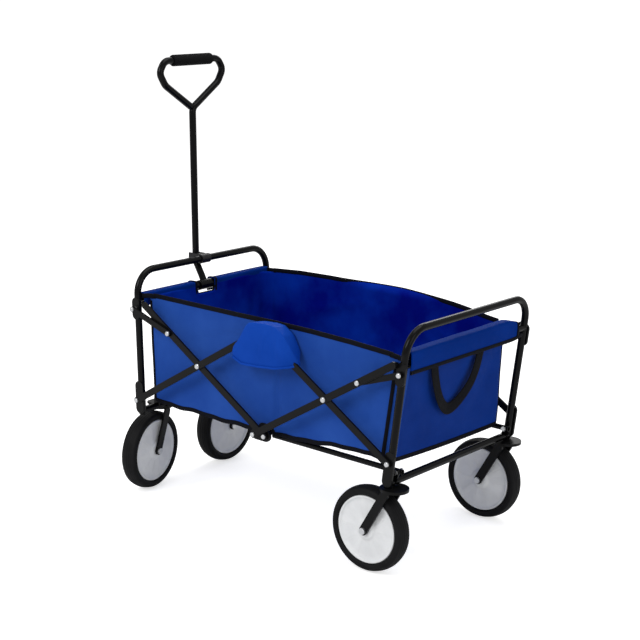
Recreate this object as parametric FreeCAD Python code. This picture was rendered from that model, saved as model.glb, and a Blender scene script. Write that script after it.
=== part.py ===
import FreeCAD, Part
import math
import os

# Folding wagon: two leaning U frames joined by scissor arms on each side, with
# a fabric basket, four wheels and a pull handle. Millimetres, z up, ground at
# z = 0, x = 0 close behind the lower hub, -x is the handle (front) end, -y the
# left side. A place in a side view is a tuple (x, z).

Vector = FreeCAD.Vector
SIDES = {"left": -1, "right": 1}
BOTH = tuple(SIDES.values())
OUTWARD = {"front": -1, "rear": 1}     # direction along x, away from the hubs

# ---- driving dimensions -------------------------------------------------
TUBE_R = 8.0            # frame tube, outer radius
CROSSBAR_R = 7.8
WALL = 1.2              # wall of tubes and crossbars
BORE_R = TUBE_R - WALL
FIT = 0.05              # radial play around bars, bolts and stems

POST_Y = 216.0          # post axis from the centre plane
POST_BOTTOM_Z = 190.0
TOP_BAR_Z = 517.0       # axis of the top bars
CORNER_BEND = 52.0      # bend radius of the top corners
POST_LOW_Z = 200.0      # height at which POST_LOW_X is taken
POST_LOW_X = {"front": -372.0, "rear": 327.0}
POST_TOP_X = {"front": -390.0, "rear": 360.0}
LOWER_BAR_Z = 199.0
UPPER_BAR_Z = {"front": 456.0, "rear": 447.0}

# layers as (inner, outer) distance from the centre plane
PLATE = (219.5, 224.5)          # brackets and hub plates
INNER_LAYER = (225.0, 230.0)    # arms A and C, rear links
OUTER_LAYER = (230.5, 235.5)    # arms B and D, front links
BOLT_R = 3.0
HOLE_R = BOLT_R + FIT

os.makedirs("parts", exist_ok=True)


# ---- helpers ------------------------------------------------------------
def post_x(end, z):
    """x of a leaning post axis at height z"""
    low, top = POST_LOW_X[end], POST_TOP_X[end]
    return low + (z - POST_LOW_Z) * (top - low) / (TOP_BAR_Z - POST_LOW_Z)


def on_post(end, z):
    return (post_x(end, z), z)


def rod(at, y0, y1, radius):
    """cylinder along y"""
    return Part.makeCylinder(radius, y1 - y0, Vector(at[0], y0, at[1]), Vector(0, 1, 0))


def side_rod(at, side, y0, y1, radius):
    """rod on one side, between two distances from the centre plane"""
    low, high = sorted((side * y0, side * y1))
    return rod(at, low, high, radius)


def side_box(x, z, length, height, side, y0, y1):
    low, high = sorted((side * y0, side * y1))
    return Part.makeBox(length, high - low, height, Vector(x, low, z))


def flat_bar(start, end, width, side, y0, y1):
    """flat bar with round ends, in a plane of constant y"""
    radius = width / 2.0
    low = min(side * y0, side * y1)
    a, b = Vector(start[0], low, start[1]), Vector(end[0], low, end[1])
    along = (b - a).normalize()
    across = Vector(-along.z, 0, along.x)
    p1, p2 = a + across * radius, b + across * radius
    p3, p4 = b - across * radius, a - across * radius
    wire = Part.Wire([
        Part.makeLine(p1, p2),
        Part.Arc(p2, b + along * radius, p3).toShape(),
        Part.makeLine(p3, p4),
        Part.Arc(p4, a - along * radius, p1).toShape(),
    ])
    return Part.Face(wire).extrude(Vector(0, abs(y1 - y0), 0))


def spine(points, bends):
    """polyline with each inner corner rounded to its bend radius"""
    edges, last = [], points[0]
    for before, corner, after, radius in zip(points, points[1:], points[2:], bends):
        arriving = (corner - before).normalize()
        leaving = (after - corner).normalize()
        turn = arriving.getAngle(leaving)
        setback = radius * math.tan(turn / 2)
        arc_start, arc_end = corner - arriving * setback, corner + leaving * setback
        inward = (leaving - arriving).normalize()
        middle = corner + inward * (radius / math.cos(turn / 2) - radius)
        if (arc_start - last).Length > 1e-6:    # arcs may meet without a straight
            edges.append(Part.makeLine(last, arc_start))
        edges.append(Part.Arc(arc_start, middle, arc_end).toShape())
        last = arc_end
    edges.append(Part.makeLine(last, points[-1]))
    return Part.Wire(edges)


def pipe(points, bends, radius):
    """round bar swept along a bent path"""
    circle = Part.Circle(points[0], points[1] - points[0], radius)
    profile = Part.Wire([circle.toShape()])
    return spine(points, bends).makePipeShell([profile], True, False)


def turned(at, side, steps):
    """turned part: (y0, y1, radius) steps along y"""
    shape = side_rod(at, side, *steps[0])
    for step in steps[1:]:
        shape = shape.fuse(side_rod(at, side, *step))
    return shape


def domed(at, side, y0, y1, radius):
    """button head: the outer rim is rounded"""
    head = side_rod(at, side, y0, y1, radius)
    rim_y = side * y1
    edges = [e for e in head.Edges
             if abs(e.BoundBox.YMin - rim_y) < 1e-6 and abs(e.BoundBox.YMax - rim_y) < 1e-6]
    return head.makeFillet(min((y1 - y0) * 0.7, radius * 0.45), edges)


def button_bolt(at, side, steps, head):
    return turned(at, side, steps).fuse(domed(at, side, *head))


def largest(shape):
    return max(shape.Solids, key=lambda s: s.Volume)


def solid(shape):
    clean = shape.removeSplitter()
    if clean.ShapeType == "Solid":
        return clean
    if len(clean.Solids) == 1:
        return clean.Solids[0]
    raise ValueError("not one solid: %d" % len(clean.Solids))


def save(name, *shapes):
    solids = [solid(s) for s in shapes]
    for s in solids:
        if not s.isValid() or s.Volume <= 0:
            raise ValueError(name)
    out = solids[0] if len(solids) == 1 else Part.makeCompound(solids)
    out.exportStep("parts/%s.step" % name)


# ---- scissor geometry ---------------------------------------------------
HUB_X, HUB_Z = -7.0, 226.0      # centre of the lower hub
PIVOT_OFFSET = 13.0             # hub pivots either side of the hub centre
HALF_SPAN, HALF_RISE = 189.0, 117.0     # hub pivot to crossing, along x and z
HALF_ARM = math.hypot(HALF_SPAN, HALF_RISE)
COS, SIN = HALF_SPAN / HALF_ARM, HALF_RISE / HALF_ARM

AB_X, CD_X = HUB_X + PIVOT_OFFSET, HUB_X - PIVOT_OFFSET     # pivots of arms A, B and C, D
TOP_HUB_Z = HUB_Z + 2 * HALF_RISE
LOW_AB, LOW_CD = (AB_X, HUB_Z), (CD_X, HUB_Z)
TOP_AB, TOP_CD = (AB_X, TOP_HUB_Z), (CD_X, TOP_HUB_Z)
CROSSING = {"front": (AB_X - HALF_SPAN, HUB_Z + HALF_RISE),
            "rear": (CD_X + HALF_SPAN, HUB_Z + HALF_RISE)}


def past_crossing(end, up, distance):
    """point on an arm, outward from the crossing; up is 1 or -1"""
    x, z = CROSSING[end]
    return (x + OUTWARD[end] * distance * COS, z + up * distance * SIN)


FOOT = {"front": past_crossing("front", -1, 222.3),     # lower frame pivots
        "rear": past_crossing("rear", -1, 190.0)}
LINK_PIN = {"front": past_crossing("front", 1, 107.0),
            "rear": past_crossing("rear", 1, 100.0)}
TIP = {end: past_crossing(end, 1, 200.0) for end in OUTWARD}    # free ends of A and D
LINK_PIVOT = {"front": on_post("front", 434.6), "rear": on_post("rear", 429.5)}

# ---- U frames and crossbars ---------------------------------------------
outer, hollow = {}, {}
for end in OUTWARD:
    start_z = POST_BOTTOM_Z - 6     # swept a little too long, then cut level
    low_x, top_x = post_x(end, start_z), post_x(end, TOP_BAR_Z)
    path = [Vector(low_x, -POST_Y, start_z), Vector(top_x, -POST_Y, TOP_BAR_Z),
            Vector(top_x, POST_Y, TOP_BAR_Z), Vector(low_x, POST_Y, start_z)]
    bends = [CORNER_BEND] * 2
    slab = Part.makeBox(80, 500, 40, Vector(low_x - 40, -250, POST_BOTTOM_Z - 40))
    outer[end] = pipe(path, bends, TUBE_R).cut(slab)
    hollow[end] = outer[end].cut(pipe(path, bends, BORE_R))


def crossbar(end, z):
    """bar fitted between the posts, and its bore"""
    at = on_post(end, z)
    bar = rod(at, -POST_Y, POST_Y, CROSSBAR_R)
    bore = rod(at, -POST_Y, POST_Y, CROSSBAR_R - WALL)
    return bar.cut(outer[end]), bore


for end in OUTWARD:
    bar, bore = crossbar(end, UPPER_BAR_Z[end])
    save("%s_upper_crossbar" % end, bar.cut(bore))

# floor bars, hinged on lugs of the lower crossbars
FLOOR_BAR_R, FLOOR_BAR_WALL = 6.0, 1.0
FLOOR_BAR_Y = {"front": 162.0, "rear": 194.0}
HINGE = {"front": (POST_LOW_X["front"], 228.5), "rear": (335.0, 220.5)}
HUB_GAP = 10.5          # hub centre to the inner end of a floor bar
HINGE_OVERHANG = 9.0    # floor bar beyond its hinge
LUG_W = 15.0


def lower_crossbar(end):
    bar, bore = crossbar(end, LOWER_BAR_Z)
    y = FLOOR_BAR_Y[end]
    for side in BOTH:
        bar = bar.fuse(flat_bar(on_post(end, LOWER_BAR_Z), HINGE[end], LUG_W,
                                side, y + 6.5, y + 10.5))
    for side in BOTH:
        bar = bar.cut(side_rod(HINGE[end], side, y, y + 14, HOLE_R))
    return bar.cut(bore)


def floor_bar(end, side):
    y = FLOOR_BAR_Y[end]
    hinge_x, z = HINGE[end]
    low, high = sorted((HUB_X + OUTWARD[end] * HUB_GAP,
                        hinge_x + OUTWARD[end] * HINGE_OVERHANG))
    start, along = Vector(low, side * y, z), Vector(1, 0, 0)
    tube = Part.makeCylinder(FLOOR_BAR_R, high - low, start, along)
    tube = tube.cut(Part.makeCylinder(FLOOR_BAR_R - FLOOR_BAR_WALL, high - low, start, along))
    return tube.cut(side_rod(HINGE[end], side, y - 12, y + 12, HOLE_R))


for end in OUTWARD:
    save("%s_lower_crossbar" % end, lower_crossbar(end))
    save("%s_floor_bars" % end, *[floor_bar(end, side) for side in BOTH])
    y = FLOOR_BAR_Y[end]
    pin_steps = [(y - 9.5, y - 6.1, 5.0), (y - 8, y + 12, BOLT_R), (y + 10.6, y + 13.6, 5.0)]
    save("%s_floor_bar_pins" % end, *[turned(HINGE[end], side, pin_steps) for side in BOTH])

# ---- brackets and bolts on the posts ------------------------------------
# bolts: ends of the shanks, and heads as (y0, y1, radius)
INNER_SHANK_Y, OUTER_SHANK_Y = 231.0, 236.0
INNER_HEAD = (INNER_LAYER[1] + 0.1, 233.6, 5.5)
OUTER_HEAD = (OUTER_LAYER[1] + 0.1, 239.2, 5.5)
SPACER = (PLATE[1] + 0.1, OUTER_LAYER[0] - 0.1)     # collar across the inner layer


def layer_bolt(at, side, to_outer, start, spacer_r, back=()):
    """bolt from a plate to the inner or the outer layer; back: steps behind the plate"""
    if to_outer:
        steps = [*back, (start, OUTER_SHANK_Y, BOLT_R), (*SPACER, spacer_r)]
        return button_bolt(at, side, steps, OUTER_HEAD)
    return button_bolt(at, side, [*back, (start, INNER_SHANK_Y, BOLT_R)], INNER_HEAD)


def bracket(end, pivot, z0, z1, width, side):
    """plate let into the post"""
    plate = flat_bar(on_post(end, z0), on_post(end, z1), width, side, *PLATE)
    return plate.cut(outer[end]).cut(side_rod(pivot, side, 200, 240, HOLE_R))


for end in OUTWARD:
    link_z = LINK_PIVOT[end][1]
    # bracket name, bolt name, pivot, lower and upper end of the plate, width
    for place, bolts, pivot, z0, z1, width in (
            ("lower", "pivot", FOOT[end], 205, 256, 24.0),
            ("upper", "link_pivot", LINK_PIVOT[end], link_z - 14, link_z + 14, 22.0)):
        save("%s_%s_brackets" % (end, place),
             *[bracket(end, pivot, z0, z1, width, side) for side in BOTH])
        save("%s_%s_bolts" % (end, bolts),
             *[layer_bolt(pivot, side, end == "front", POST_Y + 4, 5.0) for side in BOTH])
        for side in BOTH:
            # through the outer wall of the post only
            hollow[end] = hollow[end].cut(side_rod(pivot, side, POST_Y, 230, HOLE_R))
    save("%s_u_frame" % end, hollow[end])

# ---- centre crossbar and hubs -------------------------------------------
CENTRE = (HUB_X, HUB_Z)
centre_bar = rod(CENTRE, -PLATE[0], PLATE[0], TUBE_R)
save("centre_crossbar", centre_bar.cut(rod(CENTRE, -PLATE[0], PLATE[0], BORE_R)))


def hub_plate(pivots, side, width):
    plate = flat_bar(*pivots, width, side, *PLATE)
    for pivot in pivots:
        plate = plate.cut(side_rod(pivot, side, 210, 240, HOLE_R))
    return plate


def hub_bolts(inner_pivot, outer_pivot):
    """bolts of one hub, with a flat head behind the plate"""
    back = [(216.2, PLATE[0] - 0.1, 4.5)]
    return [layer_bolt(pivot, side, to_outer, 219, 4.6, back)
            for pivot, to_outer in ((inner_pivot, False), (outer_pivot, True))
            for side in BOTH]


save("lower_hub_plates", *[hub_plate((LOW_CD, LOW_AB), side, 26.0) for side in BOTH])
save("upper_hub_plates", *[hub_plate((TOP_CD, TOP_AB), side, 18.0) for side in BOTH])
clearance = rod(CENTRE, -PLATE[0], PLATE[0], TUBE_R + FIT)
save("lower_hub_bolts", *[b.cut(clearance) for b in hub_bolts(LOW_AB, LOW_CD)])
save("upper_hub_bolts", *hub_bolts(TOP_CD, TOP_AB))

# ---- scissor arms and links ---------------------------------------------
ARM_W, LINK_W = 15.0, 13.0
FRONT_X, REAR_X = CROSSING["front"], CROSSING["rear"]
# lower end, upper end, holes, layer
ARMS = {
    "a": (LOW_AB, TIP["front"], (FRONT_X, LOW_AB), INNER_LAYER),
    "b": (FOOT["front"], TOP_AB, (FRONT_X, FOOT["front"], TOP_AB), OUTER_LAYER),
    "c": (FOOT["rear"], TOP_CD, (REAR_X, FOOT["rear"], TOP_CD), INNER_LAYER),
    "d": (LOW_CD, TIP["rear"], (REAR_X, LINK_PIN["rear"], LOW_CD), OUTER_LAYER),
}
for key, (low_end, high_end, holes, layer) in ARMS.items():
    for word, side in SIDES.items():
        arm = flat_bar(low_end, high_end, ARM_W, side, *layer)
        for hole in holes:
            arm = arm.cut(side_rod(hole, side, 210, 260, HOLE_R))
        save("arm_%s_%s" % (key, word), arm)


def link(end, side):
    """short link from the upper bracket to an arm"""
    pivot, pin = LINK_PIVOT[end], LINK_PIN[end]
    layer = OUTER_LAYER if end == "front" else INNER_LAYER
    bar = flat_bar(pivot, pin, LINK_W, side, *layer)
    holes = [pivot]
    if end == "front":
        holes.append(pin)
    else:
        bar = bar.fuse(side_rod(pin, side, 221.7, 225.5, 5.0))     # boss on the inner face
    for hole in holes:
        bar = bar.cut(side_rod(hole, side, 220, 240, HOLE_R))
    return bar


CROSSING_STEPS = [(221.7, 224.9, 5.0), (224, OUTER_SHANK_Y, BOLT_R)]
CROSSING_HEAD = (OUTER_HEAD[0], 239.4, 6.0)
LINK_PIN_STEPS = [(OUTER_LAYER[0], OUTER_SHANK_Y, BOLT_R)]
for end in OUTWARD:
    save("%s_crossing_bolts" % end,
         *[button_bolt(CROSSING[end], side, CROSSING_STEPS, CROSSING_HEAD) for side in BOTH])
    save("%s_links" % end, *[link(end, side) for side in BOTH])
    save("%s_link_arm_bolts" % end,
         *[button_bolt(LINK_PIN[end], side, LINK_PIN_STEPS, OUTER_HEAD) for side in BOTH])

# ---- wheels -------------------------------------------------------------
# Each wheel is built with its stem on the z axis, the wheel plane at y = 0 and
# the axle at x = -offset, then placed.
WHEEL_R, WHEEL_W = 90.0, 38.0
RIM_R, RIM_W = 71.0, 28.0
HUB_BOSS_R = 15.0
AXLE_R, STEM_R = 4.0, 4.0
FORK_IN, FORK_OUT = 21.0, 26.0      # fork arm faces from the wheel plane
CROWN_BOTTOM_Z = 184.0
CASTER_CROWN_TOP, REAR_CROWN_TOP = 189.0, POST_BOTTOM_Z
CASTER_X, CASTER_Y = -400.0, 131.0
CASTER_TRAIL = 40.0
CASTER_YAW = {-1: 99.0, 1: 91.0}    # both casters stand turned, axle to the left of the stem
REAR_STEM_X, REAR_AXLE_X = 335.0, 279.0
REAR_WHEEL_Y = 207.0
REAR_OFFSET = REAR_STEM_X - REAR_AXLE_X


def fork(offset, crown_r, crown_top):
    shape = Part.makeCylinder(crown_r, crown_top - CROWN_BOTTOM_Z, Vector(0, 0, CROWN_BOTTOM_Z))
    for side in BOTH:
        shape = shape.fuse(
            flat_bar((-7, 178), (-offset, WHEEL_R), 19.0, side, FORK_IN, FORK_OUT))
    return shape.cut(rod((-offset, WHEEL_R), -40, 40, AXLE_R + FIT))


def caster_fork():
    hole = Part.makeCylinder(STEM_R + FIT, 40, Vector(0, 0, 170))
    return fork(CASTER_TRAIL, 28.0, CASTER_CROWN_TOP).cut(hole)


def tyre(offset):
    at = (-offset, WHEEL_R)
    shape = rod(at, -WHEEL_W / 2, WHEEL_W / 2, WHEEL_R)
    shoulders = [e for e in shape.Edges if e.Closed and abs(e.BoundBox.YLength) < 1e-3]
    return shape.makeFillet(8.0, shoulders).cut(rod(at, -30, 30, RIM_R))


def rim(offset):
    at = (-offset, WHEEL_R)
    shape = rod(at, -RIM_W / 2, RIM_W / 2, RIM_R).fuse(rod(at, -20, 20, HUB_BOSS_R))
    return shape.cut(rod(at, -30, 30, AXLE_R + FIT))


def axle(offset):
    at = (-offset, WHEEL_R)
    shape = rod(at, -29.0, 29.0, AXLE_R)
    for side in (1, -1):
        shape = shape.fuse(side_rod(at, side, FORK_OUT + FIT, 30.0, 7.0))
    return shape


def placed(shape, x, y, yaw):
    out = shape.copy()
    turn = FreeCAD.Rotation(Vector(0, 0, 1), yaw)
    out.Placement = FreeCAD.Placement(Vector(x, y, 0), turn).multiply(out.Placement)
    return out


rear_axles = []
for word, side in SIDES.items():
    where = (CASTER_X, side * CASTER_Y, CASTER_YAW[side])
    save("front_fork_%s" % word, placed(caster_fork(), *where))
    save("front_axle_%s" % word, placed(axle(CASTER_TRAIL), *where))
    save("front_tyre_%s" % word, placed(tyre(CASTER_TRAIL), *where))
    save("front_rim_%s" % word, placed(rim(CASTER_TRAIL), *where))

    # rear forks are fixed, with a spigot up into the post
    where = (REAR_STEM_X, side * REAR_WHEEL_Y, 0.0)
    spigot_at = Vector(post_x("rear", 197), side * POST_Y, REAR_CROWN_TOP - 1)
    rear_fork = placed(fork(REAR_OFFSET, 30.0, REAR_CROWN_TOP), *where)
    save("rear_fork_%s" % word, rear_fork.fuse(Part.makeCylinder(5.0, 14.0, spigot_at)))
    rear_axles.append(placed(axle(REAR_OFFSET), *where))
    save("rear_tyre_%s" % word, placed(tyre(REAR_OFFSET), *where))
    save("rear_rim_%s" % word, placed(rim(REAR_OFFSET), *where))
save("rear_axles", *rear_axles)

# caster mounts under the front lower crossbar
MOUNT_Z, MOUNT_T = 191.0, 4.5
MOUNT_L, MOUNT_W = 64, 48
BOSS_Z = CASTER_CROWN_TOP + FIT


def caster_disc(side, radius, height, z):
    """cylinder on a caster's stem axis"""
    return Part.makeCylinder(radius, height, Vector(CASTER_X, side * CASTER_Y, z))


def caster_mount(side):
    corner = Vector(CASTER_X - 26, side * CASTER_Y - MOUNT_W / 2, MOUNT_Z)
    plate = Part.makeBox(MOUNT_L, MOUNT_W, MOUNT_T, corner)
    plate = plate.makeFillet(
        10.0, [e for e in plate.Edges if abs(e.BoundBox.ZLength - MOUNT_T) < 1e-3])
    plate = plate.fuse(caster_disc(side, 13.0, MOUNT_Z - BOSS_Z, BOSS_Z))
    plate = plate.cut(rod(on_post("front", LOWER_BAR_Z), -240, 240, CROSSBAR_R))
    return largest(plate.cut(caster_disc(side, STEM_R + FIT, 20, 185)))


def kingpin(side):
    pin = caster_disc(side, STEM_R, 22.0, 181.0)
    pin = pin.fuse(caster_disc(side, 7.5, 3.4, 180.5))
    return pin.fuse(caster_disc(side, 6.5, 5.0, MOUNT_Z + MOUNT_T + FIT))


save("caster_mount_plates", *[caster_mount(side) for side in BOTH])
save("caster_kingpins", *[kingpin(side) for side in BOTH])

# ---- handle -------------------------------------------------------------
FRONT_BAR = on_post("front", UPPER_BAR_Z["front"])
REAR_BAR = on_post("rear", UPPER_BAR_Z["rear"])
bar_x, bar_z = FRONT_BAR
HANDLE_FOOT = Vector(bar_x, 0, bar_z)
KNEE = Vector(bar_x - 12, 0, 478)
SHAFT_LOW = Vector(bar_x - 29.5, 0, 506)
SHAFT_TOP = Vector(bar_x - 44, 0, 862)
SHAFT = (SHAFT_TOP - SHAFT_LOW).normalize()
ACROSS = Vector(0, 1, 0)
LOOP_H = 110            # shaft top to the axis of the loop's top bar
GRIP_L = 124.0

# (y, distance up from the shaft top, bend radius) around the loop
LOOP = [(86, 56, 18), (103, 84, 22), (86, LOOP_H, 22), (-86, LOOP_H, 18), (-103, 84, 30)]
LOOP = [(86, 56, 30), (103, 84, 18), (86, LOOP_H, 22),
        (-86, LOOP_H, 22), (-103, 84, 18), (-86, 56, 30)]
LOOP_END = (-6, 4)      # back at the shaft


def on_loop(y, up):
    return SHAFT_TOP + ACROSS * y + SHAFT * up


def pull_handle():
    path = [HANDLE_FOOT, KNEE, SHAFT_LOW, SHAFT_TOP]
    path += [on_loop(y, up) for y, up, bend in LOOP] + [on_loop(*LOOP_END)]
    bends = [14, 26, 18] + [bend for y, up, bend in LOOP]
    handle = pipe(path, bends, TUBE_R).fuse(rod(FRONT_BAR, -22, 22, 11.5))
    # bore of the straight shaft, short of both its ends
    shaft_bore = Part.makeCylinder(
        BORE_R, (SHAFT_TOP - SHAFT_LOW).Length - 30, SHAFT_LOW + SHAFT * 20, SHAFT)
    handle = handle.cut(pipe(path, bends, BORE_R)).cut(shaft_bore)
    return largest(handle.cut(rod(FRONT_BAR, -30, 30, CROSSBAR_R + FIT)))


def handle_grip():
    start = on_loop(-GRIP_L / 2, LOOP_H)
    grip = Part.makeCylinder(13.0, GRIP_L, start, ACROSS)
    grip = grip.makeFillet(4.0, [e for e in grip.Edges if abs(e.BoundBox.YLength) < 1e-3])
    return grip.cut(Part.makeCylinder(TUBE_R, GRIP_L + 6, start - ACROSS * 3, ACROSS))


def handle_clip():
    """holds the handle upright against the front top bar"""
    top_bar = on_post("front", TOP_BAR_Z)
    x, z = top_bar
    half_w, cheek, height = 12.3, 4, 20
    slot_r = TUBE_R + 0.1
    clip = rod(top_bar, -14, 14, 11.0)
    for side in BOTH:
        clip = clip.fuse(side_box(x - 38, z - 10, 38, height, side, half_w - cheek, half_w))
    clip = clip.fuse(Part.makeBox(9, 2 * half_w, height, Vector(x - 17, -half_w, z - 10)))
    clip = clip.cut(rod(top_bar, -20, 20, TUBE_R))
    shaft_at = SHAFT_LOW + SHAFT * ((z - SHAFT_LOW.z) / SHAFT.z)
    clip = clip.cut(Part.makeCylinder(slot_r, 60, shaft_at - SHAFT * 30, SHAFT))
    # opening towards the front
    clip = clip.cut(Part.makeBox(40, 2 * slot_r, 60, Vector(shaft_at.x - 40, -slot_r, z - 30)))
    return largest(clip)


save("pull_handle", pull_handle())
save("handle_grip", handle_grip())
save("handle_clip", handle_clip())

# ---- fabric basket ------------------------------------------------------
FABRIC = 2.5
BASKET_Y = 206.0        # half width
BASKET_Z0, BASKET_Z1 = 236.5, UPPER_BAR_Z["front"] + 2
BOTTOM_X = (-361.0, 316.0)      # front and rear panels, outer faces
TOP_X = (FRONT_BAR[0] + TUBE_R + 1.0, REAR_BAR[0] - TUBE_R - 1.0)


def frustum(inset, z0, z1):
    """block between the sloping end panels, moved in by inset"""
    y = BASKET_Y - inset
    sections = []
    for z, (front, rear) in ((z0, BOTTOM_X), (z1, TOP_X)):
        a, b = front + inset, rear - inset
        sections.append(Part.makePolygon([Vector(a, -y, z), Vector(b, -y, z), Vector(b, y, z),
                                          Vector(a, y, z), Vector(a, -y, z)]))
    return Part.makeLoft(sections, True, True)


def fabric_basket():
    basket = frustum(0, BASKET_Z0, BASKET_Z1)
    basket = basket.cut(frustum(FABRIC, BASKET_Z0 + FABRIC, BASKET_Z1 + 0.001))
    # lower the rear rim, only behind the inner face of the rear panel
    inner_x = TOP_X[1] - FABRIC
    trim = Part.makeBox(200, 600, 60, Vector(inner_x - 60, -300, BASKET_Z1 - 8))
    trim = trim.cut(Part.makeBox(200, 600, 60, Vector(inner_x - 200, -300, BASKET_Z1 - 60)))
    trim = trim.cut(Part.makeBox(700, 600, 60, Vector(-400, -300, BASKET_Z1 - 59.9)))
    basket = basket.cut(trim)
    # rolls around the upper crossbars
    for bar in (FRONT_BAR, REAR_BAR):
        roll = rod(bar, -196, 196, TUBE_R + 2.6).cut(rod(bar, -200, 200, CROSSBAR_R + FIT))
        basket = basket.fuse(roll)
    # notch for the handle
    basket = basket.cut(Part.makeBox(60, 84, 60, Vector(TOP_X[0] - 40, -46, 440)))
    for bar in (FRONT_BAR, REAR_BAR):
        basket = basket.cut(rod(bar, -250, 250, CROSSBAR_R + FIT))
    return basket


def joint_flap(side):
    """half-moon flap over the upper hub, folded over the basket rim"""
    x, z = 11, 381.0                # centre of the half moon
    y, thick = 242.0, 2.0
    tab_w, tab_z = 64, 470.5
    flap = side_rod((x, z), side, y - 1, y + 1, 92.0)
    flap = flap.common(side_box(x - 120, z, 240, 91.0, side, y - 5, y + 5))
    flap = flap.fuse(side_box(x - tab_w / 2, tab_z, tab_w, thick, side, BASKET_Y, y + 1))
    return flap.fuse(side_box(x - tab_w / 2, 440.0, tab_w, 32.5, side,
                              BASKET_Y, BASKET_Y + thick))


# webbing centre line on the rear panel: (y, distance up the panel)
WEBBING = [(-88, 186), (-84, 130), (-52, 92), (-18, 78), (14, 92), (44, 130), (56, 182)]
WEBBING_R, WEBBING_T = 12.5, 2.4    # half width, thickness


def webbing_loop():
    loop = None
    along_x = Vector(1, 0, 0)
    for start, end in zip(WEBBING, WEBBING[1:]):
        p, q = Vector(0, *start), Vector(0, *end)
        along = (q - p).normalize()
        n = Vector(0, -along.z, along.y) * WEBBING_R
        face = Part.Face(Part.makePolygon([p + n, q + n, q - n, p - n, p + n]))
        piece = face.extrude(Vector(WEBBING_T, 0, 0))
        for joint in (p, q):
            piece = piece.fuse(Part.makeCylinder(WEBBING_R, WEBBING_T, joint, along_x))
        loop = piece if loop is None else loop.fuse(piece)
    lean = math.degrees(math.atan2(TOP_X[1] - BOTTOM_X[1], BASKET_Z1 - BASKET_Z0))
    loop.Placement = FreeCAD.Placement(Vector(BOTTOM_X[1] + 0.4, 0, BASKET_Z0),
                                       FreeCAD.Rotation(Vector(0, 1, 0), lean))
    return loop


save("fabric_basket", fabric_basket())
save("top_joint_flaps", *[joint_flap(side) for side in BOTH])
save("rear_webbing_loop", webbing_loop())
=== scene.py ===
"""A folding wagon: a blue cloth bag on a black tube frame with four wheels.

Metres, +Z up, the ground at z = 0. The front (pull handle and casters) is at -X, the
left side at -Y. The frame's CAD parts are kept and finished; the cloth, tapes, webbing,
tyres and rims are built here.
"""
import math
import bpy
import numpy as np
from mathutils import Matrix, Vector, noise


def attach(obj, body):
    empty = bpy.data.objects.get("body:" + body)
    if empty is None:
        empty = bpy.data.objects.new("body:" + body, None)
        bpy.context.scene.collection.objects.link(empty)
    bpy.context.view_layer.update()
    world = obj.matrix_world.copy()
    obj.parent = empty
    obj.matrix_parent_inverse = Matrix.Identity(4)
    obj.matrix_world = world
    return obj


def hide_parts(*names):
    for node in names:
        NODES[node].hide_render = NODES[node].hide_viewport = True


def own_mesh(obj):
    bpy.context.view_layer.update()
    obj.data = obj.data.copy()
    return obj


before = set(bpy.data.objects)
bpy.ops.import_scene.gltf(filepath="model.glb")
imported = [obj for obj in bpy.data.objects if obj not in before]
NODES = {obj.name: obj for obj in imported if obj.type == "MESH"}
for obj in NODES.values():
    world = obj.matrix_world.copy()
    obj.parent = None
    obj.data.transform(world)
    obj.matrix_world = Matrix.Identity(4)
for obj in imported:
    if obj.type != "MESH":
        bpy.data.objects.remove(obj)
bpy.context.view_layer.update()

# ------------------------------------------------------------------ main dimensions
POST_FOOT_Z, POST_RISE = 0.200, 0.317                    # span over which post lean is given
FRONT_BAR_Z, REAR_BAR_Z = 0.456, 0.447                   # upper crossbar axes
FRONT_BAR_X = -0.372 + (FRONT_BAR_Z - POST_FOOT_Z) * (-0.018) / POST_RISE
REAR_BAR_X = 0.327 + (REAR_BAR_Z - POST_FOOT_Z) * 0.033 / POST_RISE

HALF_WIDTH = 0.2035              # side walls from the centre plane
CORNER_R = 0.026                 # corner radius of the bag in plan
WALL_INSET = 0.0112              # end walls inside the upper crossbar axes
NOTCH_Y = -0.009                 # centre of the notch in the front hem
MID_Z = 0.34                     # height at which the plan of the bag is sampled
WHEEL_R = 0.0900


def table_value(x, table):
    """linear interpolation in a table of (x, value)"""
    return float(np.interp(x, *zip(*table)))


def clamp01(value):
    return min(1.0, max(0.0, value))


def smoothstep(value):
    return value * value * (3 - 2 * value)


def bell(distance, width):
    return math.exp(-(distance / width) ** 2)


def noise_at(x, y, z):
    return noise.noise(Vector((x, y, z)))


# ------------------------------------------------------------------ shader nodes
# "owner" is anything with a node tree: a material or the world
def link(owner, source, target):
    owner.node_tree.links.new(source, target)


def add_node(owner, kind, **inputs):
    node = owner.node_tree.nodes.new("ShaderNode" + kind)
    for name, value in inputs.items():
        node.inputs[name].default_value = value
    return node


def add_math(owner, operation, *operands):
    """operands are output sockets or floats"""
    node = add_node(owner, "Math")
    node.operation = operation
    for socket, operand in zip(node.inputs, operands):
        if isinstance(operand, float):
            socket.default_value = operand
        else:
            link(owner, operand, socket)
    return node.outputs[0]


def shader_of(material):
    return material.node_tree.nodes["Principled BSDF"]


def new_material(name, color, roughness, metallic=0.0, specular=0.5):
    material = bpy.data.materials.new(name)
    material.use_nodes = True
    inputs = shader_of(material).inputs
    inputs["Base Color"].default_value = (*color, 1)
    inputs["Roughness"].default_value = roughness
    inputs["Metallic"].default_value = metallic
    inputs["Specular IOR Level"].default_value = specular
    return material


def object_coords(material):
    return add_node(material, "TexCoord").outputs["Object"]


def add_noise(material, scale, detail, roughness):
    node = add_node(material, "TexNoise", Scale=scale, Detail=detail, Roughness=roughness)
    link(material, object_coords(material), node.inputs["Vector"])
    return node.outputs["Fac"]


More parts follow.
